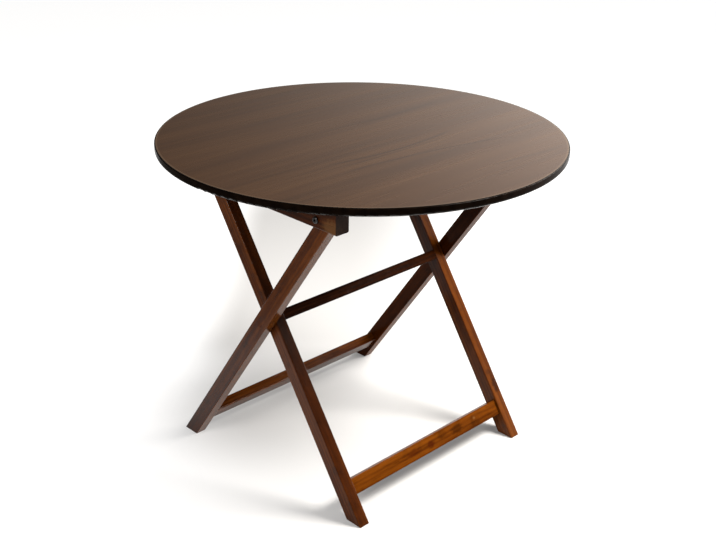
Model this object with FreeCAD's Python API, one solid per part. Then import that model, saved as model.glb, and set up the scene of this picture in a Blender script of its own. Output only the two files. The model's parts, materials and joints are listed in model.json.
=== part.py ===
"""Round folding table: a round top on two crossed leg frames that fold flat.

Millimetres, +Z up. The origin is on the floor under the middle of the top.
X is the way the legs open, Y runs along the rails and the pivots. Front is -Y, rear is +Y.
The outer frame leans to +X at its head and is pivoted to the battens under the top.
The inner frame leans to -X at its head and carries the free side of the top.
"""
import FreeCAD, Part
import math
import os

# Round top
TOP_DIAMETER = 900.0
TOP_THICKNESS = 18.0
TABLE_HEIGHT = 755.0
VENEER_THICKNESS = 0.8
BAND_WIDTH = 22.0
BAND_UPPER_EASE = 1.2
BAND_LOWER_ROUND = 6.0

# Leg frames
CROSS_HEIGHT = 394.0
OUTER_LEAN = 34.9
INNER_LEAN = 34.1
OUTER_FRAME_WIDTH = 604.0
LEG_WIDTH = 36.0
LEG_THICKNESS = 27.5
CROSS_WASHER_THICKNESS = 2.0
WOOD_EASE = 2.0
FOOT_EASE = 1.5

# Rails
RAIL_HEIGHT = 36.0
RAIL_THICKNESS = 24.0
BOTTOM_RAIL_FROM_CROSS = 403.0
TOP_RAIL_FROM_UNDERSIDE = 3.0

# Battens and stop cleat under the top
BATTEN_LENGTH = 548.0
BATTEN_HEIGHT = 46.0
BATTEN_THICKNESS = 34.0
BATTEN_EASE = 3.5
CLEAT_LENGTH = 500.0
CLEAT_WIDTH = 22.0
CLEAT_HEIGHT = 20.0

# Top pivots
TOP_PIVOT_DROP = 28.0
TOP_WASHER_THICKNESS = 1.8
INSERT_DIAMETER = 12.0
INSERT_LENGTH = 18.0

# Bolts, nuts and washers
BOLT_DIAMETER = 8.0
BOLT_HEAD_DIAMETER = 14.0
BOLT_HEAD_HEIGHT = 4.0
BOLT_HEAD_EASE = 2.0
SOCKET_WIDTH = 5.0
SOCKET_DEPTH = 4.0
SOCKET_SIDES = 6
WASHER_DIAMETER = 24.0
PLUG_THICKNESS = 6.0
BARREL_DIAMETER = 12.0
BARREL_LENGTH = 15.0
BARREL_DEPTH_IN_RAIL = 20.0
BOLT_PAST_BARREL = 4.0

# Dowels
DOWEL_DIAMETER = 8.0
DOWEL_SPACING = 18.0
MIDDLE_DOWEL_DIAMETER = 6.0
MIDDLE_DOWEL_SPACING = 24.0
DOWEL_IN_LEG = 16.0
DOWEL_IN_RAIL = 22.0
DOWEL_END_ROOM = 1.0

# Wood screws
SCREW_DIAMETER = 5.0
SCREW_HEAD_DIAMETER = 9.5
SCREW_HEAD_HEIGHT = 3.0
SCREW_BITE = 11.0
BATTEN_SCREW_RECESS = 14.0
BATTEN_SCREW_SPACING = 160.0
CLEAT_SCREW_RECESS = 4.0
CLEAT_SCREW_SPACING = 180.0
SCREWS_IN_ROW = 3

# Clearances
RUNNING_FIT = 0.05
SEAT_GAP = 0.05
TURNING_GAP = 0.1
HEAD_ROOM = 0.5
TOP_SEAT_GAP = 0.3
CLEAT_GAP = 0.6

# Places worked out from the sizes above
TOP_RADIUS = TOP_DIAMETER / 2
UNDERSIDE = TABLE_HEIGHT - TOP_THICKNESS
CORE_BOTTOM = UNDERSIDE + VENEER_THICKNESS
CORE_TOP = TABLE_HEIGHT - VENEER_THICKNESS
OUTER_LEG_OUT = OUTER_FRAME_WIDTH / 2
OUTER_LEG_IN = OUTER_LEG_OUT - LEG_THICKNESS
INNER_LEG_OUT = OUTER_LEG_IN - CROSS_WASHER_THICKNESS - 2 * TURNING_GAP
INNER_LEG_IN = INNER_LEG_OUT - LEG_THICKNESS
BATTEN_IN = OUTER_LEG_OUT + TOP_WASHER_THICKNESS + 2 * TURNING_GAP
BATTEN_OUT = BATTEN_IN + BATTEN_THICKNESS
TOP_PIVOT_HEIGHT = UNDERSIDE - TOP_PIVOT_DROP
TOP_PIVOT_FROM_CROSS = (TOP_PIVOT_HEIGHT - CROSS_HEIGHT) / math.cos(math.radians(OUTER_LEAN))
TOP_PIVOT_X = TOP_PIVOT_FROM_CROSS * math.sin(math.radians(OUTER_LEAN))
INNER_HEAD_HEIGHT = UNDERSIDE - TOP_SEAT_GAP
INNER_HEAD_X = -(INNER_HEAD_HEIGHT - CROSS_HEIGHT) * math.tan(math.radians(INNER_LEAN))
INNER_HEAD_HALF = LEG_WIDTH / 2 / math.cos(math.radians(INNER_LEAN))
REACH = TABLE_HEIGHT + TOP_DIAMETER
FRONT = -1
REAR = 1
SIDES = (FRONT, REAR)

Vector = FreeCAD.Vector
X_AXIS = Vector(1, 0, 0)
Y_AXIS = Vector(0, 1, 0)
Z_AXIS = Vector(0, 0, 1)


def span_box(low, high):
    """A box between two corners."""
    size = Vector(*high).sub(Vector(*low))
    return Part.makeBox(size.x, size.y, size.z, Vector(*low))


def eased_outline(half_u, half_v, ease):
    """A rectangle with rounded corners, in the XY plane about the origin."""
    inner_u = half_u - ease
    inner_v = half_v - ease
    slant = ease * math.sqrt(0.5)
    edges = []
    corners = ((1, 1), (-1, 1), (-1, -1), (1, -1))
    for index, (u, v) in enumerate(corners):
        along_v = Vector(u * half_u, v * inner_v, 0)
        middle = Vector(u * (inner_u + slant), v * (inner_v + slant), 0)
        along_u = Vector(u * inner_u, v * half_v, 0)
        start, end = (along_v, along_u) if u == v else (along_u, along_v)
        edges.append(Part.Arc(start, middle, end).toShape())
        next_u, next_v = corners[(index + 1) % len(corners)]
        if next_u == next_v:
            following = Vector(next_u * half_u, next_v * inner_v, 0)
        else:
            following = Vector(next_u * inner_u, next_v * half_v, 0)
        edges.append(Part.LineSegment(end, following).toShape())
    return Part.Face(Part.Wire(edges))


def upright_bar(size_x, size_y, low_z, high_z, middle_y=0.0):
    """A bar with eased long edges, standing along Z."""
    bar = eased_outline(size_x / 2, size_y / 2, WOOD_EASE).extrude(Vector(0, 0, high_z - low_z))
    bar.translate(Vector(0, middle_y, low_z))
    return bar


def bar_along_y(size_x, size_z, half_length, middle_z=0.0):
    """A bar with eased long edges, lying along Y about the frame's middle."""
    bar = eased_outline(size_x / 2, size_z / 2, WOOD_EASE).extrude(Vector(0, 0, 2 * half_length))
    bar.rotate(Vector(), X_AXIS, -90)
    bar.translate(Vector(0, -half_length, middle_z))
    return bar


def bar_along_x(size_y, size_z, half_length, ease):
    """A bar with eased long edges, lying along X about the origin."""
    bar = eased_outline(size_z / 2, size_y / 2, ease).extrude(Vector(0, 0, 2 * half_length))
    bar.rotate(Vector(), Y_AXIS, 90)
    bar.translate(Vector(-half_length, 0, 0))
    return bar


def rod(radius, start, along, length):
    """A round rod from a point along a direction."""
    return Part.makeCylinder(radius, length, start, along)


def ring(outer_radius, inner_radius, start, along, length):
    """A flat washer or a sleeve."""
    return rod(outer_radius, start, along, length).cut(rod(inner_radius, start, along, length))


def outward(side):
    """The direction away from the table's middle on one side."""
    return Vector(0, side, 0)


def set_in_frame(shape, lean):
    """Lean an upright frame piece about the crossing and lift it to its height."""
    placed = shape.copy()
    placed.rotate(Vector(), Y_AXIS, lean)
    placed.translate(Vector(0, 0, CROSS_HEIGHT))
    return placed


def outer_place(shape):
    return set_in_frame(shape, OUTER_LEAN)


def inner_place(shape):
    return set_in_frame(shape, -INNER_LEAN)


def cut_below(shape, height):
    """Cut a piece flat at a height and keep what is above."""
    return shape.common(span_box((-REACH, -REACH, height), (REACH, REACH, REACH)))


def cut_above(shape, height):
    """Cut a piece flat at a height and keep what is below."""
    return shape.common(span_box((-REACH, -REACH, -REACH), (REACH, REACH, height)))


def drill(shape, tools):
    """Take a list of holes out of a piece."""
    for tool in tools:
        shape = shape.cut(tool)
    return shape


def foot_wedge(edge, inward, upward, along):
    """What an eased foot edge loses: a wedge along the edge, from the sole to the side."""
    low = edge + (inward * 2 - upward) * FOOT_EASE
    high = edge + (upward * 2 - inward) * FOOT_EASE
    outside = edge - (inward + upward) * 2 * FOOT_EASE
    wedge = Part.Face(Part.makePolygon([low, high, outside, low])).extrude(along * 2 * REACH)
    wedge.translate(along * -REACH)
    return wedge


def standing(shape, lean, middle_y):
    """Cut a leaning leg's foot flat on the floor and ease the foot's edges."""
    upward = Vector(math.sin(math.radians(lean)), 0, math.cos(math.radians(lean)))
    middle = Vector(-CROSS_HEIGHT * upward.x / upward.z, middle_y, 0)
    wedges = []
    for turn in (-1, 1):
        edge = middle + X_AXIS * (turn * LEG_WIDTH / 2 / upward.z)
        wedges.append(foot_wedge(edge, X_AXIS * -turn, upward, Y_AXIS))
        edge = middle + Y_AXIS * (turn * LEG_THICKNESS / 2)
        wedges.append(foot_wedge(edge, Y_AXIS * -turn, Z_AXIS, X_AXIS))
    return drill(cut_below(shape, 0.0), wedges)


def row_places(spacing):
    """Places of a row of screws about its middle."""
    first = -spacing * (SCREWS_IN_ROW - 1) / 2
    return [first + spacing * index for index in range(SCREWS_IN_ROW)]


def socket_bolt(head_start, along, length):
    """A round-headed bolt with a hexagon socket; the head's outer face is at the start."""
    head = rod(BOLT_HEAD_DIAMETER / 2, Vector(), Z_AXIS, BOLT_HEAD_HEIGHT)
    rim = [edge for edge in head.Edges if edge.BoundBox.ZMax < BOLT_HEAD_HEIGHT / 2]
    head = head.makeFillet(BOLT_HEAD_EASE, rim)
    shank = rod(BOLT_DIAMETER / 2, Vector(0, 0, BOLT_HEAD_HEIGHT), Z_AXIS, length - BOLT_HEAD_HEIGHT)
    corner_radius = SOCKET_WIDTH / 2 / math.cos(math.pi / SOCKET_SIDES)
    corners = []
    for index in range(SOCKET_SIDES + 1):
        angle = 2 * math.pi * index / SOCKET_SIDES
        corners.append(Vector(corner_radius * math.cos(angle), corner_radius * math.sin(angle), 0))
    socket = Part.Face(Part.makePolygon(corners)).extrude(Vector(0, 0, SOCKET_DEPTH))
    bolt = head.fuse(shank).removeSplitter().cut(socket)
    bolt.Placement = FreeCAD.Placement(head_start, FreeCAD.Rotation(Z_AXIS, along))
    return bolt


def wood_screw(head_start, length):
    """A screw that points up, with its head's lower face at the start."""
    head = Part.makeCone(SCREW_HEAD_DIAMETER / 2, SCREW_DIAMETER / 2, SCREW_HEAD_HEIGHT, head_start, Z_AXIS)
    shank = rod(SCREW_DIAMETER / 2, head_start.add(Vector(0, 0, SCREW_HEAD_HEIGHT)), Z_AXIS,
                length - SCREW_HEAD_HEIGHT)
    return head.fuse(shank).removeSplitter()


def screw_hole(mouth_z, head_z, tip_z, x, y):
    """Room for a screw: a wide recess up to the head, a countersink and a hole to the tip."""
    wide = SCREW_HEAD_DIAMETER / 2 + SEAT_GAP
    narrow = SCREW_DIAMETER / 2 + SEAT_GAP
    recess = rod(wide, Vector(x, y, mouth_z), Z_AXIS, head_z - mouth_z)
    sink = Part.makeCone(wide, narrow, SCREW_HEAD_HEIGHT, Vector(x, y, head_z), Z_AXIS)
    hole = rod(narrow, Vector(x, y, head_z), Z_AXIS, tip_z - head_z)
    return recess.fuse(sink).fuse(hole)


# Screws of the battens and the cleat

SCREW_TIP = UNDERSIDE + SCREW_BITE
BATTEN_BOTTOM = UNDERSIDE - BATTEN_HEIGHT
BATTEN_MIDDLE_Y = (BATTEN_IN + BATTEN_OUT) / 2
BATTEN_SCREW_HEAD = BATTEN_BOTTOM + BATTEN_SCREW_RECESS
CLEAT_BOTTOM = UNDERSIDE - CLEAT_HEIGHT
CLEAT_FACE_X = INNER_HEAD_X - INNER_HEAD_HALF - CLEAT_GAP
CLEAT_MIDDLE_X = CLEAT_FACE_X - CLEAT_WIDTH / 2
CLEAT_SCREW_HEAD = CLEAT_BOTTOM + CLEAT_SCREW_RECESS


def batten_screw_places(sides):
    return [(x, side * BATTEN_MIDDLE_Y) for side in sides for x in row_places(BATTEN_SCREW_SPACING)]


def cleat_screw_places():
    return [(CLEAT_MIDDLE_X, y) for y in row_places(CLEAT_SCREW_SPACING)]


def all_screw_places():
    return cleat_screw_places() + batten_screw_places(SIDES)


def screw_group(places, head_z):
    screws = []
    for x, y in places:
        screws.append(wood_screw(Vector(x, y, head_z), SCREW_TIP - head_z))
    return Part.makeCompound(screws)


# Round top

def pilot_holes():
    radius = SCREW_DIAMETER / 2 + SEAT_GAP
    holes = []
    for x, y in all_screw_places():
        holes.append(rod(radius, Vector(x, y, UNDERSIDE), Z_AXIS, SCREW_BITE + DOWEL_END_ROOM))
    return holes


def top_core():
    radius = TOP_RADIUS - BAND_WIDTH
    core = rod(radius, Vector(0, 0, CORE_BOTTOM), Z_AXIS, CORE_TOP - CORE_BOTTOM)
    return drill(core, pilot_holes())


def backing_veneer():
    radius = TOP_RADIUS - BAND_WIDTH
    sheet = rod(radius, Vector(0, 0, UNDERSIDE), Z_AXIS, VENEER_THICKNESS)
    return drill(sheet, pilot_holes())


def face_veneer():
    return rod(TOP_RADIUS - BAND_UPPER_EASE, Vector(0, 0, CORE_TOP), Z_AXIS, VENEER_THICKNESS)


def edge_band():
    """The rim round the core: eased at its top, with a larger round below."""
    inner = TOP_RADIUS - BAND_WIDTH
    slant = 1 - math.sqrt(0.5)
    top_arc_start = Vector(TOP_RADIUS, 0, CORE_TOP - BAND_UPPER_EASE)
    top_arc_middle = Vector(TOP_RADIUS - BAND_UPPER_EASE * slant, 0, CORE_TOP - BAND_UPPER_EASE * slant)
    top_arc_end = Vector(TOP_RADIUS - BAND_UPPER_EASE, 0, CORE_TOP)
    low_arc_start = Vector(TOP_RADIUS - BAND_LOWER_ROUND, 0, UNDERSIDE)
    low_arc_middle = Vector(TOP_RADIUS - BAND_LOWER_ROUND * slant, 0, UNDERSIDE + BAND_LOWER_ROUND * slant)
    low_arc_end = Vector(TOP_RADIUS, 0, UNDERSIDE + BAND_LOWER_ROUND)
    inner_top = Vector(inner, 0, CORE_TOP)
    inner_bottom = Vector(inner, 0, UNDERSIDE)
    edges = [
        Part.LineSegment(inner_bottom, low_arc_start).toShape(),
        Part.Arc(low_arc_start, low_arc_middle, low_arc_end).toShape(),
        Part.LineSegment(low_arc_end, top_arc_start).toShape(),
        Part.Arc(top_arc_start, top_arc_middle, top_arc_end).toShape(),
        Part.LineSegment(top_arc_end, inner_top).toShape(),
        Part.LineSegment(inner_top, inner_bottom).toShape(),
    ]
    band = Part.Face(Part.Wire(edges)).revolve(Vector(), Z_AXIS, 360)
    return drill(band, pilot_holes())


# Battens and stop cleat

def batten(side):
    bar = bar_along_x(BATTEN_THICKNESS, BATTEN_HEIGHT, BATTEN_LENGTH / 2, BATTEN_EASE)
    bar.translate(Vector(0, side * BATTEN_MIDDLE_Y, UNDERSIDE - BATTEN_HEIGHT / 2))
    pivot_start = Vector(TOP_PIVOT_X, side * BATTEN_IN, TOP_PIVOT_HEIGHT)
    holes = [rod(BOLT_DIAMETER / 2 + RUNNING_FIT, pivot_start, outward(side), BATTEN_THICKNESS)]
    for x, y in batten_screw_places([side]):
        holes.append(screw_hole(BATTEN_BOTTOM, BATTEN_SCREW_HEAD, UNDERSIDE, x, y))
    return drill(bar, holes)


def stop_cleat():
    bar = bar_along_y(CLEAT_WIDTH, CLEAT_HEIGHT, CLEAT_LENGTH / 2)
    bar.translate(Vector(CLEAT_MIDDLE_X, 0, UNDERSIDE - CLEAT_HEIGHT / 2))
    holes = []
    for x, y in cleat_screw_places():
        holes.append(screw_hole(CLEAT_BOTTOM, CLEAT_SCREW_HEAD, UNDERSIDE, x, y))
    return drill(bar, holes)


# Rail joints: pairs of dowels set in a leg and a rail's end

def dowel_pair(joint_y, side, radius, offsets, room):
    """Rods across one joint face; the room is the hole's play round and past each dowel."""
    rods = []
    for x, z in offsets:
        start = Vector(x, joint_y + side * (DOWEL_IN_LEG + room), z)
        length = DOWEL_IN_LEG + DOWEL_IN_RAIL + 2 * room
        rods.append(rod(radius, start, outward(-side), length))
    return rods


def upright_offsets(middle_z):
    return [(0, middle_z - DOWEL_SPACING / 2), (0, middle_z + DOWEL_SPACING / 2)]


MIDDLE_OFFSETS = [(-MIDDLE_DOWEL_SPACING / 2, 0), (MIDDLE_DOWEL_SPACING / 2, 0)]
TOP_RAIL_MIDDLE = ((INNER_HEAD_HEIGHT - CROSS_HEIGHT) / math.cos(math.radians(INNER_LEAN))
                   - TOP_RAIL_FROM_UNDERSIDE - RAIL_HEIGHT / 2
                   - RAIL_THICKNESS / 2 * math.tan(math.radians(INNER_LEAN)))


def joint_dowels(joint_y, side, offsets, diameter):
    return dowel_pair(side * joint_y, side, diameter / 2, offsets, 0.0)


def joint_holes(joint_y, side, offsets, diameter):
    return dowel_pair(side * joint_y, side, diameter / 2 + SEAT_GAP, offsets, DOWEL_END_ROOM)


def outer_joints():
    """The offsets and diameter of the dowels at each rail of the outer frame."""
    return [(upright_offsets(-BOTTOM_RAIL_FROM_CROSS), DOWEL_DIAMETER)]


def inner_joints():
    """The same for the inner frame: bottom rail, middle rail and top rail."""
    return [
        (upright_offsets(-BOTTOM_RAIL_FROM_CROSS), DOWEL_DIAMETER),
        (MIDDLE_OFFSETS, MIDDLE_DOWEL_DIAMETER),
        (upright_offsets(TOP_RAIL_MIDDLE), DOWEL_DIAMETER),
    ]


def frame_holes(joints, joint_y, sides):
    holes = []
    for offsets, diameter in joints:
        for side in sides:
            holes = holes + joint_holes(joint_y, side, offsets, diameter)
    return holes


def frame_dowels(joints, joint_y):
    dowels = []
    for offsets, diameter in joints:
        for side in SIDES:
            dowels = dowels + joint_dowels(joint_y, side, offsets, diameter)
    return Part.makeCompound(dowels)


# Cross pivots, on the Y axis of the upright frames

COUNTERBORE_DEPTH = PLUG_THICKNESS + BOLT_HEAD_HEIGHT + HEAD_ROOM
CROSS_HEAD_Y = OUTER_LEG_OUT - PLUG_THICKNESS - HEAD_ROOM + TURNING_GAP
BARREL_Y = INNER_LEG_IN - BARREL_DEPTH_IN_RAIL
CROSS_BOLT_TIP_Y = BARREL_Y - BARREL_DIAMETER / 2 - BOLT_PAST_BARREL


def cross_bolt(side):
    start = Vector(0, side * CROSS_HEAD_Y, 0)
    return socket_bolt(start, outward(-side), CROSS_HEAD_Y - CROSS_BOLT_TIP_Y)


def cross_bore(side, play):
    """The bolt's hole from the outer leg's face to past the bolt's tip."""
    start = Vector(0, side * OUTER_LEG_OUT, 0)
    length = OUTER_LEG_OUT - CROSS_BOLT_TIP_Y + DOWEL_END_ROOM
    return rod(BOLT_DIAMETER / 2 + play, start, outward(-side), length)


def counterbore(side):
    radius = BOLT_HEAD_DIAMETER / 2 + HEAD_ROOM
    return rod(radius, Vector(0, side * OUTER_LEG_OUT, 0), outward(-side), COUNTERBORE_DEPTH)


def cross_plug(side):
    radius = BOLT_HEAD_DIAMETER / 2 + HEAD_ROOM - SEAT_GAP
    return rod(radius, Vector(0, side * OUTER_LEG_OUT, 0), outward(-side), PLUG_THICKNESS)


def cross_washer(side):
    start = Vector(0, side * (INNER_LEG_OUT + TURNING_GAP), 0)
    inner = BOLT_DIAMETER / 2 + RUNNING_FIT
    return ring(WASHER_DIAMETER / 2, inner, start, outward(side), CROSS_WASHER_THICKNESS)


def barrel_nut(side):
    nut = rod(BARREL_DIAMETER / 2, Vector(0, side * BARREL_Y, -BARREL_LENGTH / 2), Z_AXIS, BARREL_LENGTH)
    return nut.cut(cross_bore(side, SEAT_GAP))


def barrel_hole(side):
    """The nut's hole, open at the rail's lower face."""
    low = -RAIL_THICKNESS / 2
    start = Vector(0, side * BARREL_Y, low)
    return rod(BARREL_DIAMETER / 2 + SEAT_GAP, start, Z_AXIS, BARREL_LENGTH / 2 + SEAT_GAP - low)


# Top pivots, on an axis through the outer legs' heads

TOP_PIVOT = Vector(0, 0, TOP_PIVOT_FROM_CROSS)
TOP_HEAD_Y = BATTEN_OUT + TURNING_GAP + BOLT_HEAD_HEIGHT
TOP_BOLT_TIP_Y = OUTER_LEG_OUT - INSERT_LENGTH


def at_top_pivot(y):
    return TOP_PIVOT.add(Vector(0, y, 0))


def top_bolt(side):
    return socket_bolt(at_top_pivot(side * TOP_HEAD_Y), outward(-side), TOP_HEAD_Y - TOP_BOLT_TIP_Y)


def top_washer(side):
    start = at_top_pivot(side * (OUTER_LEG_OUT + TURNING_GAP))
    inner = BOLT_DIAMETER / 2 + RUNNING_FIT
    return ring(WASHER_DIAMETER / 2, inner, start, outward(side), TOP_WASHER_THICKNESS)


def leg_insert(side):
    start = at_top_pivot(side * OUTER_LEG_OUT)
    return ring(INSERT_DIAMETER / 2, BOLT_DIAMETER / 2 + SEAT_GAP, start, outward(-side), INSERT_LENGTH)


def insert_hole(side):
    start = at_top_pivot(side * OUTER_LEG_OUT)
    return rod(INSERT_DIAMETER / 2 + SEAT_GAP, start, outward(-side), INSERT_LENGTH + DOWEL_END_ROOM)


# Outer frame

def outer_leg(side):
    """A leg with a flat foot and a round head about the top pivot."""
    middle_y = side * (OUTER_LEG_OUT - LEG_THICKNESS / 2)
    head = TOP_PIVOT_FROM_CROSS + LEG_WIDTH / 2
    bar = upright_bar(LEG_WIDTH, LEG_THICKNESS, -REACH, head, middle_y)
    below_head = span_box((-LEG_WIDTH, -REACH, -REACH), (LEG_WIDTH, REACH, TOP_PIVOT_FROM_CROSS))
    round_head = rod(LEG_WIDTH / 2, at_top_pivot(-REACH), Y_AXIS, 2 * REACH)
    bar = bar.common(below_head.fuse(round_head))
    holes = [cross_bore(side, RUNNING_FIT), counterbore(side), insert_hole(side)]
    holes = holes + frame_holes(outer_joints(), OUTER_LEG_IN, [side])
    return standing(outer_place(drill(bar, holes)), OUTER_LEAN, middle_y)


def bottom_rail(joint_y, joints):
    rail = bar_along_y(RAIL_THICKNESS, RAIL_HEIGHT, joint_y, -BOTTOM_RAIL_FROM_CROSS)
    return drill(rail, frame_holes(joints, joint_y, SIDES))


def outer_bottom_rail():
    return outer_place(bottom_rail(OUTER_LEG_IN, outer_joints()))


# Inner frame

def inner_leg(side):
    """A leg with a flat foot and a head cut level under the top."""
    middle_y = side * (INNER_LEG_OUT - LEG_THICKNESS / 2)
    bar = upright_bar(LEG_WIDTH, LEG_THICKNESS, -REACH, REACH, middle_y)
    holes = [cross_bore(side, SEAT_GAP)] + frame_holes(inner_joints(), INNER_LEG_IN, [side])
    leg = standing(inner_place(drill(bar, holes)), -INNER_LEAN, middle_y)
    return cut_above(leg, INNER_HEAD_HEIGHT)


def inner_bottom_rail():
    return inner_place(bottom_rail(INNER_LEG_IN, inner_joints()))


def middle_rail():
    rail = bar_along_y(RAIL_HEIGHT, RAIL_THICKNESS, INNER_LEG_IN)
    holes = frame_holes(inner_joints(), INNER_LEG_IN, SIDES)
    for side in SIDES:
        holes = holes + [cross_bore(side, SEAT_GAP), barrel_hole(side)]
    return inner_place(drill(rail, holes))


def inner_top_rail():
    rail = bar_along_y(RAIL_THICKNESS, RAIL_HEIGHT, INNER_LEG_IN, TOP_RAIL_MIDDLE)
    return inner_place(drill(rail, frame_holes(inner_joints(), INNER_LEG_IN, SIDES)))


def both_sides(make, place):
    return place(Part.makeCompound([make(side) for side in SIDES]))


def build():
    return {
        "top_core": top_core(),
        "face_veneer": face_veneer(),
        "backing_veneer": backing_veneer(),
        "edge_band": edge_band(),
        "front_batten": batten(FRONT),
        "rear_batten": batten(REAR),
        "batten_screws": screw_group(batten_screw_places(SIDES), BATTEN_SCREW_HEAD),
        "stop_cleat": stop_cleat(),
        "cleat_screws": screw_group(cleat_screw_places(), CLEAT_SCREW_HEAD),
        "front_outer_leg": outer_leg(FRONT),
        "rear_outer_leg": outer_leg(REAR),
        "outer_bottom_rail": outer_bottom_rail(),
        "outer_rail_dowels": outer_place(frame_dowels(outer_joints(), OUTER_LEG_IN)),
        "top_pivot_bolts": both_sides(top_bolt, outer_place),
        "top_pivot_washers": both_sides(top_washer, outer_place),
        "leg_inserts": both_sides(leg_insert, outer_place),
        "cross_bolt_plugs": both_sides(cross_plug, outer_place),
        "front_inner_leg": inner_leg(FRONT),
        "rear_inner_leg": inner_leg(REAR),
        "inner_bottom_rail": inner_bottom_rail(),
        "middle_rail": middle_rail(),
        "inner_top_rail": inner_top_rail(),
        "inner_rail_dowels": inner_place(frame_dowels(inner_joints(), INNER_LEG_IN)),
        "cross_pivot_bolts": both_sides(cross_bolt, inner_place),
        "cross_pivot_washers": both_sides(cross_washer, inner_place),
        "barrel_nuts": both_sides(barrel_nut, inner_place),
    }


os.makedirs("parts", exist_ok=True)
for node, shape in build().items():
    shape.exportStep("parts/" + node + ".step")
    print(node, "solids", len(shape.Solids), "valid", shape.isValid(), "volume", round(shape.Volume, 1))
print("top pivot at", round(TOP_PIVOT_X, 4), round(TOP_PIVOT_HEIGHT, 4))
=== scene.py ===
"""Looks of the round folding table: wood, lacquer and metal finishes, pale floor, soft light and the camera.

Metres, in the part's own frame: +Z up, X is the way the legs open, Y runs along the rails and pivots.
"""
import bpy
import json
import math
from mathutils import Euler, Matrix, Vector

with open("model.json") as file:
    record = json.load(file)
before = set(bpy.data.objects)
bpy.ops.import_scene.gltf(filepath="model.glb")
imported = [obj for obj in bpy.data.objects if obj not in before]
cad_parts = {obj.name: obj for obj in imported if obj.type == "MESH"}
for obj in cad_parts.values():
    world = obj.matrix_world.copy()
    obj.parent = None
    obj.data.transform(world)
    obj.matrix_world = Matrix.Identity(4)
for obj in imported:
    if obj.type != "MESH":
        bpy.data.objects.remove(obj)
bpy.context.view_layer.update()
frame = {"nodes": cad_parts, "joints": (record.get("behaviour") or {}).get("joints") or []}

# Camera, as the photograph was taken
CAMERA_PLACE = Vector((1.6738, -1.6651, 1.48935))
CAMERA_YAW = 0.78996
CAMERA_PITCH = 0.42172
CAMERA_ROLL = 0.01595
CAMERA_LENS = 56.33
CAMERA_SENSOR = 36.0

# Floor: a white sheet that glows outside the key light's pool, up to its front and left edges
FLOOR_SIZE = 300.0
FLOOR_COLOUR = (0.38, 0.38, 0.38, 1.0)
FLOOR_ROUGHNESS = 0.7
FLOOR_GLOSS = 0.1
GLOW_COLOUR = (1.0, 1.0, 1.0, 1.0)
GLOW = 0.86
POOL_GLOW = 0.09
POOL_MIDDLE = (0.6, 0.3, 0.0)
POOL_REACH = (0.40, 1.40)
BACKWARD = (-0.7071, 0.7071, 0.0)
FRONT_EDGE = (-1.0, -0.45)
RIGHTWARD = (0.459, 0.889, 0.0)
LEFT_EDGE = (-1.12, -0.79)

# Soft shade in the glow under and behind the table: where it begins and ends, and how deep it is
ACROSS = (0.7071, 0.7071, 0.0)
SHADE_LEFT = (-0.52, -0.34)
SHADE_RIGHT = (-0.05, 0.50)
SHADE_FRONT = (0.10, 0.50)
SHADE_BACK = (1.4, 2.0)
SHADE_DEPTH = 0.80
RAIL_SHADE_MIDDLE = (-0.21, -0.08, 0.0)
RAIL_SHADE_REACH = (0.08, 0.36)
RAIL_SHADE_LEAST = 0.35

# Studio round the table: dim, with a broad bright side behind it
WORLD_COLOUR = (1.0, 0.96, 0.91, 1.0)
WORLD_DIM = 0.07
WORLD_BRIGHT = 8.2
WORLD_BRIGHT_SIDE = (0.05, 0.96, 0.27)
WORLD_FOCUS = 7.0
WORLD_LOW = 0.20
WORLD_HIGH = 0.385
WORLD_HIGH_SHARE = 0.15

# Soft lights: place, aim, width, height, watts, colour
LIGHTS = {
    "key": ((1.05, 0.98, 1.95), (0.0, 0.0, 0.30), 0.95, 0.95, 180.0, (1.0, 0.96, 0.91)),
    "fill": ((0.3, -2.6, 1.75), (0.0, 0.0, 0.40), 1.2, 1.0, 65.0, (1.0, 0.97, 0.94)),
}

# Where the frames turn, from the joints
JOINTS = {joint["name"]: joint for joint in frame["joints"]}
CROSS_PIVOT = Vector(JOINTS["leg_fold"]["pos_m"])
FLOOR_CONTACT = 0.001


def foot_middle(node):
    """The X of the middle of a leg's foot on the floor."""
    places = [v.co.x for v in frame["nodes"][node].data.vertices if v.co.z < FLOOR_CONTACT]
    return (min(places) + max(places)) / 2


def leaning(node):
    """The direction that a leg runs in."""
    lean = math.atan2(CROSS_PIVOT.x - foot_middle(node), CROSS_PIVOT.z)
    return Vector((math.sin(lean), 0.0, math.cos(lean)))


def reach(node, direction):
    """How far a node lies along a direction, from its first to its last point."""
    places = [v.co.dot(direction) for v in frame["nodes"][node].data.vertices]
    return min(places), max(places)


# Directions of the grain
UP = Vector((0.0, 0.0, 1.0))
ALONG_X = Vector((1.0, 0.0, 0.0))
ALONG_Y = Vector((0.0, 1.0, 0.0))
ALONG_OUTER_LEG = leaning("front_outer_leg")
ALONG_INNER_LEG = leaning("front_inner_leg")

# Colour sockets of a mix node, and the soft edges of marks and strokes
MIX_COLOURS = (6, 7)
MIX_RESULT = 2
ORIGIN = (0.0, 0.0, 0.0)
MARK_NOISE = 160.0
MARK_EDGE = (0.8, 1.5)
STROKE_FADE = 0.08


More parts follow.
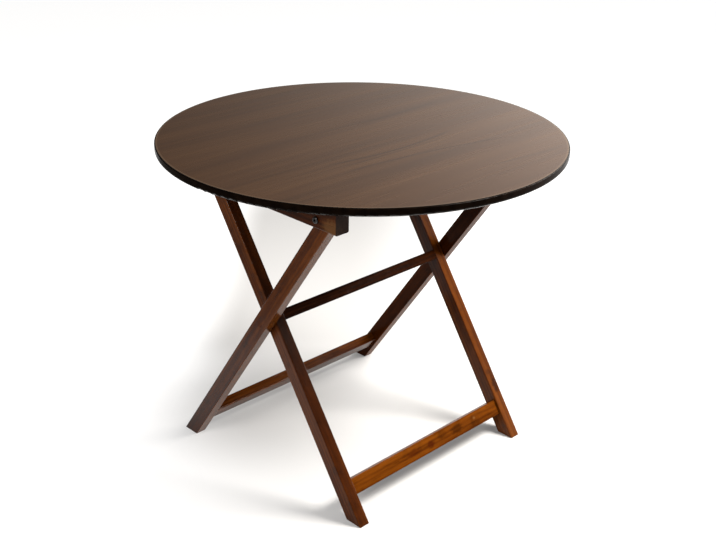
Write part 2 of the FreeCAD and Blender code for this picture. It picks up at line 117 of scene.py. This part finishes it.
class Nodes:
    """A node tree, with short calls that add nodes and join them."""

    def __init__(self, tree):
        self.tree = tree

    def feed(self, socket, value):
        """Join a socket to another one, or set its value."""
        if isinstance(value, bpy.types.NodeSocket):
            self.tree.links.new(value, socket)
        else:
            socket.default_value = value

    def add(self, kind, inputs, **settings):
        node = self.tree.nodes.new(kind)
        for name, value in settings.items():
            setattr(node, name, value)
        for name, value in inputs.items():
            self.feed(node.inputs[name], value)
        return node

    def place(self, kind="Object"):
        """Where a point lies, or which way its surface looks, in the object's own frame."""
        return self.add("ShaderNodeTexCoord", {}).outputs[kind]

    def vector_math(self, operation, first, second):
        node = self.add("ShaderNodeVectorMath", {}, operation=operation)
        self.feed(node.inputs[0], first)
        self.feed(node.inputs[1], second)
        return node.outputs["Value"]

    def away(self, vector, middle):
        """How far a place lies from a point."""
        return self.vector_math("DISTANCE", vector, middle)

    def along(self, vector, direction):
        """How far a place lies along a direction."""
        return self.vector_math("DOT_PRODUCT", vector, direction)

    def turned(self, grain):
        """The object's place, turned so that its grain runs along Z."""
        turn = grain.rotation_difference(UP).to_euler()
        node = self.add("ShaderNodeMapping", {"Vector": self.place(), "Rotation": turn})
        return node.outputs["Vector"]

    def scaled(self, vector, scale, shift=ORIGIN):
        node = self.add("ShaderNodeMapping", {"Vector": vector, "Scale": scale, "Location": shift})
        return node.outputs["Vector"]

    def noise(self, vector, scale, detail=3.0, roughness=0.55, distortion=0.0):
        node = self.add("ShaderNodeTexNoise", {
            "Vector": vector,
            "Scale": scale,
            "Detail": detail,
            "Roughness": roughness,
            "Distortion": distortion,
        })
        return node.outputs["Fac"]

    def rings(self, vector, scale, distortion, detail, detail_scale):
        node = self.add("ShaderNodeTexWave", {
            "Vector": vector,
            "Scale": scale,
            "Distortion": distortion,
            "Detail": detail,
            "Detail Scale": detail_scale,
        }, wave_type="RINGS", rings_direction="Z")
        return node.outputs["Fac"]

    def math(self, operation, *values):
        node = self.add("ShaderNodeMath", {}, operation=operation)
        for socket, value in zip(node.inputs, values):
            self.feed(socket, value)
        return node.outputs["Value"]

    def product(self, first, *others):
        for value in others:
            first = self.math("MULTIPLY", first, value)
        return first

    def weighted(self, values, shares):
        """The sum of some values, each times its share."""
        total = self.math("MULTIPLY", values[0], shares[0])
        for value, share in zip(values[1:], shares[1:]):
            total = self.math("MULTIPLY_ADD", value, share, total)
        return total

    def fade(self, value, start, end, low=0.0, high=1.0):
        """A smooth step of a value from one level to another."""
        node = self.add("ShaderNodeMapRange", {
            "Value": value,
            "From Min": start,
            "From Max": end,
            "To Min": low,
            "To Max": high,
        }, interpolation_type="SMOOTHSTEP")
        return node.outputs["Result"]

    def ramp(self, value, stops, colours):
        node = self.add("ShaderNodeValToRGB", {"Fac": value})
        elements = node.color_ramp.elements
        while len(elements) < len(stops):
            elements.new(1.0)
        for element, position, colour in zip(elements, stops, colours):
            element.position = position
            element.color = (*colour, 1.0)
        return node.outputs["Color"]

    def mix(self, share, first, second):
        """A colour, with a share of a plain second colour in it."""
        node = self.add("ShaderNodeMix", {"Factor": share}, data_type="RGBA")
        for index, value in zip(MIX_COLOURS, (first, (*second, 1.0))):
            self.feed(node.inputs[index], value)
        return node.outputs[MIX_RESULT]

    def mark(self, direction, middle, length, width, strength):
        """A soft spot that is long along the grain: its strength inside, nothing outside."""
        sizes = Vector((1 / width, 1 / width, 1 / length))
        shift = -(direction.rotation_difference(UP) @ Vector(middle)) * sizes
        from_middle = self.away(self.scaled(self.turned(direction), sizes, shift), ORIGIN)
        rough = self.math("ADD", from_middle, self.noise(self.place(), MARK_NOISE))
        return self.fade(rough, *MARK_EDGE, strength, 0.0)

    def stroke(self, curve, span, width, strength):
        """A soft line whose X is a curve of Y, from one Y to another."""
        across = self.along(self.place(), ALONG_X)
        level = self.along(self.place(), ALONG_Y)
        square, slope, start = curve
        bend = self.math("MULTIPLY_ADD", level, square, slope)
        middle = self.math("MULTIPLY_ADD", level, bend, start)
        apart = self.math("ABSOLUTE", self.math("SUBTRACT", across, middle))
        line = self.fade(apart, 0.0, width, strength, 0.0)
        first, last = span
        begun = self.fade(level, first, first + STROKE_FADE)
        ended = self.fade(level, last - STROKE_FADE, last, 1.0, 0.0)
        return self.product(line, begun, ended)


class Finish(Nodes):
    """One material and its shader."""

    def __init__(self, name):
        self.material = bpy.data.materials.new(name)
        self.material.use_nodes = True
        super().__init__(self.material.node_tree)
        self.shader = self.tree.nodes["Principled BSDF"]

    def surface(self, **values):
        """Values of the shader, with spaces in their names written as underscores."""
        for name, value in values.items():
            self.feed(self.shader.inputs[name.replace("_", " ")], value)

    def relief(self, height, depth, strength):
        node = self.add("ShaderNodeBump", {"Height": height, "Distance": depth, "Strength": strength})
        self.surface(Normal=node.outputs["Normal"])


# Stained wood of the legs, rails and battens: colours
STAIN_DARK = (0.010, 0.002, 0.0002)
STAIN_MIDDLE = (0.038, 0.0082, 0.0006)
STAIN_LIGHT = (0.100, 0.026, 0.0018)
STAINS = (STAIN_DARK, STAIN_MIDDLE, STAIN_LIGHT)
STAIN_STOPS = (0.31, 0.53, 0.81)
PORE_COLOUR = (0.006, 0.002, 0.0003)
KNOT_COLOUR = (0.030, 0.004, 0.0006)
# Pale colour: a pale spot in the inner bottom rail, and a painted pool of light on the front batten
BARE_AND_PAINTED_LIGHT_COLOUR = (0.130, 0.060, 0.020)

# Stained wood: patterns, and the shares of broad streaks, rings, mottle and fibre in the tone
WOOD_STRETCH = (1.0, 1.0, 0.06)
WOOD_BROAD = {"scale": 38.0}
WOOD_RINGS = {"scale": 34.0, "distortion": 5.0, "detail": 2.0, "detail_scale": 1.6}
WOOD_MOTTLE_STRETCH = (1.0, 1.0, 6.0)
WOOD_MOTTLE = {"scale": 70.0}
WOOD_FIBRE = {"scale": 420.0, "detail": 4.0, "roughness": 0.6}
WOOD_SHARES = (0.62, 0.10, 0.20, 0.14)
WOOD_BLOTCH = {"scale": 21.0, "detail": 2.0}
WOOD_BLOTCH_FADE = (0.56, 0.74, 0.0, 0.45)
WOOD_PORE_STRETCH = (1.0, 1.0, 0.5)
WOOD_PORES = {"scale": 900.0, "detail": 1.0}
WOOD_PORE_FADE = (0.60, 0.70)
WOOD_PORE_SHARE = 0.6
WOOD_ROUGHNESS = (0.25, 0.75, 0.14, 0.22)
WOOD_RELIEF = (0.0002, 0.20)

# Stained wood: faces that do not look along Y, which carry painted light and shade, and cut ends
SIDE_FACE = (0.2, 0.8, 1.0, 0.0)
CUT_END = (0.80, 0.95)
CUT_END_SHARE = 0.75
CUT_END_ROUGHNESS = 0.6

# Marks in the wood: middle, length along the grain, width across it, colour and strength
MARKS = {
    "inner_bottom_rail": [
        ((0.236, -0.054, 0.067), 0.030, 0.010, KNOT_COLOUR, 0.6),
        ((0.236, 0.005, 0.066), 0.016, 0.011, KNOT_COLOUR, 0.75),
        ((0.236, 0.097, 0.068), 0.026, 0.016, STAIN_DARK, 0.6),
        ((0.236, 0.160, 0.072), 0.009, 0.006, BARE_AND_PAINTED_LIGHT_COLOUR, 0.6),
    ],
    "rear_inner_leg": [((0.211, 0.262, 0.114), 0.030, 0.014, STAIN_DARK, 0.75)],
    # Painted light: a paler patch at the batten's right end, where light falls on it past the top's shadow
    "front_batten": [((0.262, -0.338, 0.702), 0.034, 0.026, BARE_AND_PAINTED_LIGHT_COLOUR, 0.5)],
}


def stained_wood(node, shift, direction, lifts, painted_side_light, gloss):
    """Walnut-stained hardwood with long streaks, growth rings, pores, darker end grain, satin lacquer."""
    graph = Finish(node + "_wood")
    turned = graph.turned(direction)
    grain = graph.scaled(turned, WOOD_STRETCH, shift)
    broad = graph.noise(grain, **WOOD_BROAD)
    rings = graph.rings(grain, **WOOD_RINGS)
    mottle = graph.noise(graph.scaled(grain, WOOD_MOTTLE_STRETCH), **WOOD_MOTTLE)
    fibre = graph.noise(grain, **WOOD_FIBRE)
    tone = graph.weighted((broad, rings, mottle, fibre), WOOD_SHARES)
    ends = reach(node, direction)
    level = graph.along(graph.place(), direction)
    # Lightness along the piece: part its own stain tone, part painted shade and light where the piece lies
    # in shade or in light
    tone = graph.math("ADD", tone, graph.fade(level, *ends, *lifts))
    # Painted light and shade: faces that do not look along Y are made lighter or darker along the piece, as
    # they are lit or shaded
    if any(painted_side_light):
        facing_y = graph.math("ABSOLUTE", graph.along(graph.place("Normal"), ALONG_Y))
        side_face = graph.fade(facing_y, *SIDE_FACE)
        painted_side_level = graph.fade(level, *ends, *painted_side_light)
        tone = graph.math("MULTIPLY_ADD", side_face, painted_side_level, tone)
    colour = graph.ramp(tone, STAIN_STOPS, STAINS)
    blotch = graph.fade(graph.noise(turned, **WOOD_BLOTCH), *WOOD_BLOTCH_FADE)
    colour = graph.mix(blotch, colour, STAIN_DARK)
    for middle, length, width, mark_colour, strength in MARKS.get(node, []):
        colour = graph.mix(graph.mark(direction, middle, length, width, strength), colour, mark_colour)
    facing_end = graph.math("ABSOLUTE", graph.along(graph.place("Normal"), direction))
    colour = graph.mix(graph.fade(facing_end, *CUT_END, 0.0, CUT_END_SHARE), colour, STAIN_DARK)
    pores = graph.fade(graph.noise(graph.scaled(grain, WOOD_PORE_STRETCH), **WOOD_PORES), *WOOD_PORE_FADE)
    colour = graph.mix(graph.math("MULTIPLY", pores, WOOD_PORE_SHARE), colour, PORE_COLOUR)
    long_grain = graph.fade(fibre, *WOOD_ROUGHNESS)
    end_grain = graph.fade(facing_end, *CUT_END, 0.0, CUT_END_ROUGHNESS)
    graph.surface(
        Base_Color=colour,
        Roughness=graph.math("MAXIMUM", long_grain, end_grain),
        Specular_IOR_Level=gloss,
    )
    graph.relief(graph.math("SUBTRACT", fibre, pores), *WOOD_RELIEF)
    return graph.material


# Dark lacquer of the rim: colours, mottle, and a sheen where it looks down and towards +X
RIM_DARK = (0.0020, 0.0010, 0.0006)
RIM_LIGHT = (0.0050, 0.0026, 0.0014)
RIM_STOPS = (0.35, 0.70)
RIM_MOTTLE = {"scale": 60.0, "detail": 4.0}
RIM_ROUGHNESS = (0.3, 0.7, 0.18, 0.26)
RIM_SHEEN_SIDE = (0.5, 0.0, -0.87)
RIM_SHEEN = (0.86, 0.97, 0.012, 0.30)


def dark_rim():
    """Near-black lacquer over a solid edge, with a faint mottle."""
    graph = Finish("dark_rim")
    mottle = graph.noise(graph.place(), **RIM_MOTTLE)
    facing = graph.along(graph.place("Normal"), RIM_SHEEN_SIDE)
    graph.surface(
        Base_Color=graph.ramp(mottle, RIM_STOPS, (RIM_DARK, RIM_LIGHT)),
        Roughness=graph.fade(mottle, *RIM_ROUGHNESS),
        Specular_IOR_Level=graph.fade(facing, *RIM_SHEEN),
    )
    return graph.material


# Walnut veneer of the top: colours
WALNUT_DARK = (0.015, 0.0060, 0.0020)
WALNUT_MIDDLE = (0.028, 0.0118, 0.0038)
WALNUT_LIGHT = (0.042, 0.0190, 0.0062)
WALNUTS = (WALNUT_DARK, WALNUT_MIDDLE, WALNUT_LIGHT)
WALNUT_STOPS = (0.17, 0.37, 0.59)
# Painted highlight: the pale colour of the ring at the edge of the face
WALNUT_HIGHLIGHT = (0.075, 0.048, 0.028)

# Walnut veneer: patterns, and the shares of bands, streaks and fibre in the tone
WALNUT_STRETCH = (1.0, 1.0, 0.045)
WALNUT_BANDS = {"scale": 12.0, "detail": 2.0, "roughness": 0.5, "distortion": 0.4}
WALNUT_STREAKS = {"scale": 75.0, "roughness": 0.58}
WALNUT_FIBRE_STRETCH = (1.0, 1.0, 0.03)
WALNUT_FIBRE = {"scale": 900.0, "roughness": 0.6}
WALNUT_SHARES = (0.42, 0.26, 0.06)
WALNUT_LINE_STRETCH = (1.0, 1.0, 0.02)
WALNUT_LINES = {"scale": 130.0, "detail": 2.0}
WALNUT_LINE_FADE = (0.62, 0.72, 0.0, 0.35)
WALNUT_ROUGHNESS = (0.25, 0.75, 0.25, 0.28)
WALNUT_RELIEF = (0.0001, 0.015)
WALNUT_GLOSS = 0.55

# Painted highlight ring, standing in for the eased edge catching light, and lacquered ring at the edge of
# the face, by distance from the middle
FLAT = (1.0, 1.0, 0.0)
EDGE_HIGHLIGHT_RING = (0.4430, 0.4452)
EDGE_HIGHLIGHT_SHARE = 0.45
LACQUERED_EDGE = (0.4464, 0.4479)
LACQUER_GLOSS = 0.10

# Darker grain lines: X as a curve of Y, from which Y to which, width and strength
STROKES = [
    ((-0.56, 0.0, 0.122), (-0.22, 0.20), 0.006, 0.9),
    ((-0.05, 0.004, 0.132), (-0.20, 0.16), 0.004, 0.7),
    ((0.29, 0.148, 0.174), (-0.22, 0.26), 0.006, 0.8),
    ((-0.27, 0.067, -0.068), (0.02, 0.36), 0.008, 0.6),
    ((-0.39, 0.24, 0.308), (0.02, 0.30), 0.005, 0.7),
]


def walnut_face():
    """Straight-grained walnut veneer under a satin lacquer, its grain along the rails."""
    graph = Finish("walnut_face")
    turned = graph.turned(ALONG_Y)
    grain = graph.scaled(turned, WALNUT_STRETCH)
    bands = graph.noise(grain, **WALNUT_BANDS)
    streaks = graph.noise(grain, **WALNUT_STREAKS)
    fibre = graph.noise(graph.scaled(turned, WALNUT_FIBRE_STRETCH), **WALNUT_FIBRE)
    tone = graph.weighted((bands, streaks, fibre), WALNUT_SHARES)
    colour = graph.ramp(tone, WALNUT_STOPS, WALNUTS)
    lines = graph.noise(graph.scaled(turned, WALNUT_LINE_STRETCH), **WALNUT_LINES)
    colour = graph.mix(graph.fade(lines, *WALNUT_LINE_FADE), colour, WALNUT_DARK)
    for stroke in STROKES:
        colour = graph.mix(graph.stroke(*stroke), colour, WALNUT_DARK)
    from_middle = graph.away(graph.scaled(graph.place(), FLAT), ORIGIN)
    # Painted highlight: a pale ring just inside the lacquered edge, where the eased edge would catch light
    colour = graph.mix(graph.fade(from_middle, *EDGE_HIGHLIGHT_RING, 0.0, EDGE_HIGHLIGHT_SHARE), colour, WALNUT_HIGHLIGHT)
    colour = graph.mix(graph.fade(from_middle, *LACQUERED_EDGE), colour, RIM_DARK)
    graph.surface(
        Base_Color=colour,
        Roughness=graph.fade(streaks, *WALNUT_ROUGHNESS),
        Specular_IOR_Level=graph.fade(from_middle, *LACQUERED_EDGE, WALNUT_GLOSS, LACQUER_GLOSS),
    )
    graph.relief(fibre, *WALNUT_RELIEF)
    return graph.material


# Hidden board of the top
BOARDS = ((0.24, 0.16, 0.09), (0.46, 0.34, 0.21))
BOARD_STOPS = (0.35, 0.68)
BOARD_SPECKLE = {"scale": 650.0, "detail": 5.0, "roughness": 0.7}
BOARD_ROUGHNESS = (0.3, 0.7, 0.72, 0.92)
BOARD_RELIEF = (0.0003, 0.4)


def core_board():
    """Pressed wood fibre: a pale speckle."""
    graph = Finish("core_board")
    speckle = graph.noise(graph.place(), **BOARD_SPECKLE)
    graph.surface(
        Base_Color=graph.ramp(speckle, BOARD_STOPS, BOARDS),
        Roughness=graph.fade(speckle, *BOARD_ROUGHNESS),
    )
    graph.relief(speckle, *BOARD_RELIEF)
    return graph.material


# Backing sheet of the top, with the shares of bands and fibre in the tone
BACKINGS = ((0.050, 0.026, 0.014), (0.105, 0.058, 0.032))
BACKING_STOPS = (0.34, 0.66)
BACKING_STRETCH = (1.0, 1.0, 0.05)
BACKING_BANDS = {"scale": 30.0, "detail": 4.0, "roughness": 0.6}
BACKING_FIBRE = {"scale": 520.0, "roughness": 0.6}
BACKING_SHARES = (0.6, 0.4)
BACKING_ROUGHNESS = (0.25, 0.75, 0.50, 0.66)
BACKING_RELIEF = (0.0002, 0.3)


def backing_sheet():
    """A plain dull wood sheet, its grain along the rails."""
    graph = Finish("backing_sheet")
    grain = graph.scaled(graph.turned(ALONG_Y), BACKING_STRETCH)
    bands = graph.noise(grain, **BACKING_BANDS)
    fibre = graph.noise(grain, **BACKING_FIBRE)
    tone = graph.weighted((bands, fibre), BACKING_SHARES)
    graph.surface(
        Base_Color=graph.ramp(tone, BACKING_STOPS, BACKINGS),
        Roughness=graph.fade(fibre, *BACKING_ROUGHNESS),
    )
    graph.relief(fibre, *BACKING_RELIEF)
    return graph.material


# Beech dowels
DOWELS = ((0.42, 0.25, 0.13), (0.66, 0.46, 0.28))
DOWEL_STOPS = (0.36, 0.64)
DOWEL_STRETCH = (1.0, 1.0, 0.08)
DOWEL_FLECK = {"scale": 700.0, "detail": 4.0, "roughness": 0.6}
DOWEL_ROUGHNESS = (0.3, 0.7, 0.55, 0.72)
DOWEL_RELIEF = (0.0002, 0.3)


def dowel_beech():
    """Unstained beech with short flecks along the dowel."""
    graph = Finish("dowel_beech")
    grain = graph.scaled(graph.turned(ALONG_Y), DOWEL_STRETCH)
    fleck = graph.noise(grain, **DOWEL_FLECK)
    graph.surface(
        Base_Color=graph.ramp(fleck, DOWEL_STOPS, DOWELS),
        Roughness=graph.fade(fleck, *DOWEL_ROUGHNESS),
    )
    graph.relief(fleck, *DOWEL_RELIEF)
    return graph.material


# Metals: dark and light colour and the range of roughness of each, then what they share
STEEL = (((0.035, 0.035, 0.037), (0.10, 0.10, 0.104)), (0.20, 0.38))
ZINC = (((0.36, 0.37, 0.38), (0.60, 0.62, 0.64)), (0.34, 0.52))
BRASS = (((0.42, 0.27, 0.09), (0.74, 0.54, 0.24)), (0.24, 0.42))
METAL_STOPS = (0.35, 0.62)
METAL_STRETCH = (1.0, 0.2, 1.0)
METAL_MARKS = {"scale": 1500.0, "roughness": 0.65}
METAL_TARNISH = {"scale": 240.0, "detail": 4.0, "roughness": 0.6}
METAL_SHARES = (0.4, 0.6)
METAL_TONES = (0.3, 0.7)
METAL_RELIEF = (0.00005, 0.3)


def brushed_metal(name, colours, roughness):
    """Metal with fine turning marks round Y and a little tarnish."""
    graph = Finish(name)
    marks = graph.noise(graph.scaled(graph.place(), METAL_STRETCH), **METAL_MARKS)
    tarnish = graph.noise(graph.place(), **METAL_TARNISH)
    tone = graph.weighted((marks, tarnish), METAL_SHARES)
    graph.surface(
        Base_Color=graph.ramp(tone, METAL_STOPS, colours),
        Metallic=1.0,
        Roughness=graph.fade(tone, *METAL_TONES, *roughness),
    )
    graph.relief(marks, *METAL_RELIEF)
    return graph.material


# Stained pieces: grain, lightness at the two ends (part each piece's own stain tone, part painted shade and
# light, such as the middle rail darkened where it lies in shade), more of it on faces that do not look along
# Y as painted light and shade, gloss
EVEN = (0.0, 0.0)
WOODS = {
    "front_outer_leg": (ALONG_OUTER_LEG, (-0.05, 0.10), (0.34, 0.46), 0.145),
    "rear_outer_leg": (ALONG_OUTER_LEG, (0.0, -0.18), (0.22, 0.30), 0.035),
    "front_inner_leg": (ALONG_INNER_LEG, (0.05, 0.07), (-0.04, -0.22), 0.12),
    "rear_inner_leg": (ALONG_INNER_LEG, (0.12, -0.10), (-0.03, 0.24), 0.11),
    "outer_bottom_rail": (ALONG_Y, (0.11, 0.08), EVEN, 0.14),
    "inner_bottom_rail": (ALONG_Y, (0.24, 0.13), EVEN, 0.012),
    "middle_rail": (ALONG_Y, (-0.20, -0.12), EVEN, 0.05),
    "inner_top_rail": (ALONG_Y, (0.02, -0.03), EVEN, 0.10),
    "stop_cleat": (ALONG_Y, (-0.03, 0.02), EVEN, 0.10),
    "front_batten": (ALONG_X, (-0.16, -0.04), EVEN, 0.10),
    "rear_batten": (ALONG_X, (-0.04, 0.03), EVEN, 0.10),
    "cross_bolt_plugs": (ALONG_OUTER_LEG, (-0.02, 0.02), EVEN, 0.10),
}
WOOD_SHIFT = (0.37, 0.21, 0.53)


def finishes():
    """The finish of every node: each stained piece has its own stretch of grain."""
    steel = brushed_metal("bolt_steel", *STEEL)
    zinc = brushed_metal("zinc_steel", *ZINC)
    brass = brushed_metal("insert_brass", *BRASS)
    beech = dowel_beech()
    materials = {
        "top_core": core_board(),
        "face_veneer": walnut_face(),
        "backing_veneer": backing_sheet(),
        "edge_band": dark_rim(),
        "batten_screws": zinc,
        "cleat_screws": zinc,
        "outer_rail_dowels": beech,
        "inner_rail_dowels": beech,
        "top_pivot_bolts": steel,
        "cross_pivot_bolts": steel,
        "top_pivot_washers": steel,
        "cross_pivot_washers": steel,
        "barrel_nuts": steel,
        "leg_inserts": brass,
    }
    for index, (node, values) in enumerate(WOODS.items()):
        shift = tuple(step * index for step in WOOD_SHIFT)
        materials[node] = stained_wood(node, shift, *values)
    return materials


def floor():
    """The white sheet under the table, with its glow and soft shade."""
    mesh = bpy.data.meshes.new("floor")
    half = FLOOR_SIZE / 2
    corners = [(-half, -half, 0.0), (half, -half, 0.0), (half, half, 0.0), (-half, half, 0.0)]
    mesh.from_pydata(corners, [], [(0, 1, 2, 3)])
    graph = Finish("floor_paper")
    place = graph.place()
    depth = graph.along(place, BACKWARD)
    across = graph.along(place, ACROSS)
    outside = graph.fade(graph.away(place, POOL_MIDDLE), *POOL_REACH, POOL_GLOW, GLOW)
    behind = graph.fade(depth, *FRONT_EDGE)
    right = graph.fade(graph.along(place, RIGHTWARD), *LEFT_EDGE)
    shade = graph.product(
        graph.fade(depth, *SHADE_FRONT),
        graph.fade(depth, *SHADE_BACK, 1.0, 0.0),
        graph.fade(across, *SHADE_LEFT),
        graph.fade(across, *SHADE_RIGHT, 1.0, 0.0),
    )
    lit = graph.math("MULTIPLY_ADD", shade, -SHADE_DEPTH, 1.0)
    from_rail = graph.away(place, RAIL_SHADE_MIDDLE)
    rail_lit = graph.fade(from_rail, *RAIL_SHADE_REACH, RAIL_SHADE_LEAST, 1.0)
    graph.surface(
        Base_Color=FLOOR_COLOUR,
        Roughness=FLOOR_ROUGHNESS,
        Specular_IOR_Level=FLOOR_GLOSS,
        Emission_Color=GLOW_COLOUR,
        Emission_Strength=graph.product(outside, behind, right, lit, rail_lit),
    )
    mesh.materials.append(graph.material)
    piece = bpy.data.objects.new("floor", mesh)
    bpy.context.scene.collection.objects.link(piece)


def soft_light(name, place, aim, width, height, watts, colour):
    light = bpy.data.lights.new(name, "AREA")
    light.shape = "RECTANGLE"
    light.size = width
    light.size_y = height
    light.energy = watts
    light.color = colour
    holder = bpy.data.objects.new(name, light)
    holder.location = place
    holder.rotation_euler = (Vector(aim) - Vector(place)).to_track_quat("-Z", "Y").to_euler()
    bpy.context.scene.collection.objects.link(holder)


def daylight():
    """The studio's own light, brightest low on one side."""
    world = bpy.data.worlds.new("studio")
    world.use_nodes = True
    graph = Nodes(world.node_tree)
    facing = graph.math("MAXIMUM", graph.along(graph.place("Generated"), WORLD_BRIGHT_SIDE), 0.0)
    height = graph.along(graph.place("Generated"), UP)
    upper = graph.fade(height, WORLD_LOW, WORLD_HIGH, WORLD_BRIGHT, WORLD_BRIGHT * WORLD_HIGH_SHARE)
    bright = graph.math("MULTIPLY", graph.math("POWER", facing, WORLD_FOCUS), upper)
    background = world.node_tree.nodes["Background"]
    background.inputs["Color"].default_value = WORLD_COLOUR
    graph.feed(background.inputs["Strength"], graph.math("ADD", bright, WORLD_DIM))
    bpy.context.scene.world = world


def camera():
    lens = bpy.data.cameras.new("camera")
    lens.lens = CAMERA_LENS
    lens.sensor_width = CAMERA_SENSOR
    holder = bpy.data.objects.new("camera", lens)
    turn = Euler((math.pi / 2 - CAMERA_PITCH, 0.0, CAMERA_YAW)).to_matrix().to_4x4()
    holder.matrix_world = Matrix.Translation(CAMERA_PLACE) @ turn @ Matrix.Rotation(CAMERA_ROLL, 4, "Z")
    bpy.context.scene.collection.objects.link(holder)
    bpy.context.scene.camera = holder


for node, material in finishes().items():
    mesh = frame["nodes"][node].data
    mesh.materials.clear()
    mesh.materials.append(material)
floor()
daylight()
for light_name, values in LIGHTS.items():
    soft_light(light_name, *values)
camera()
bpy.context.scene.view_settings.view_transform = "Standard"
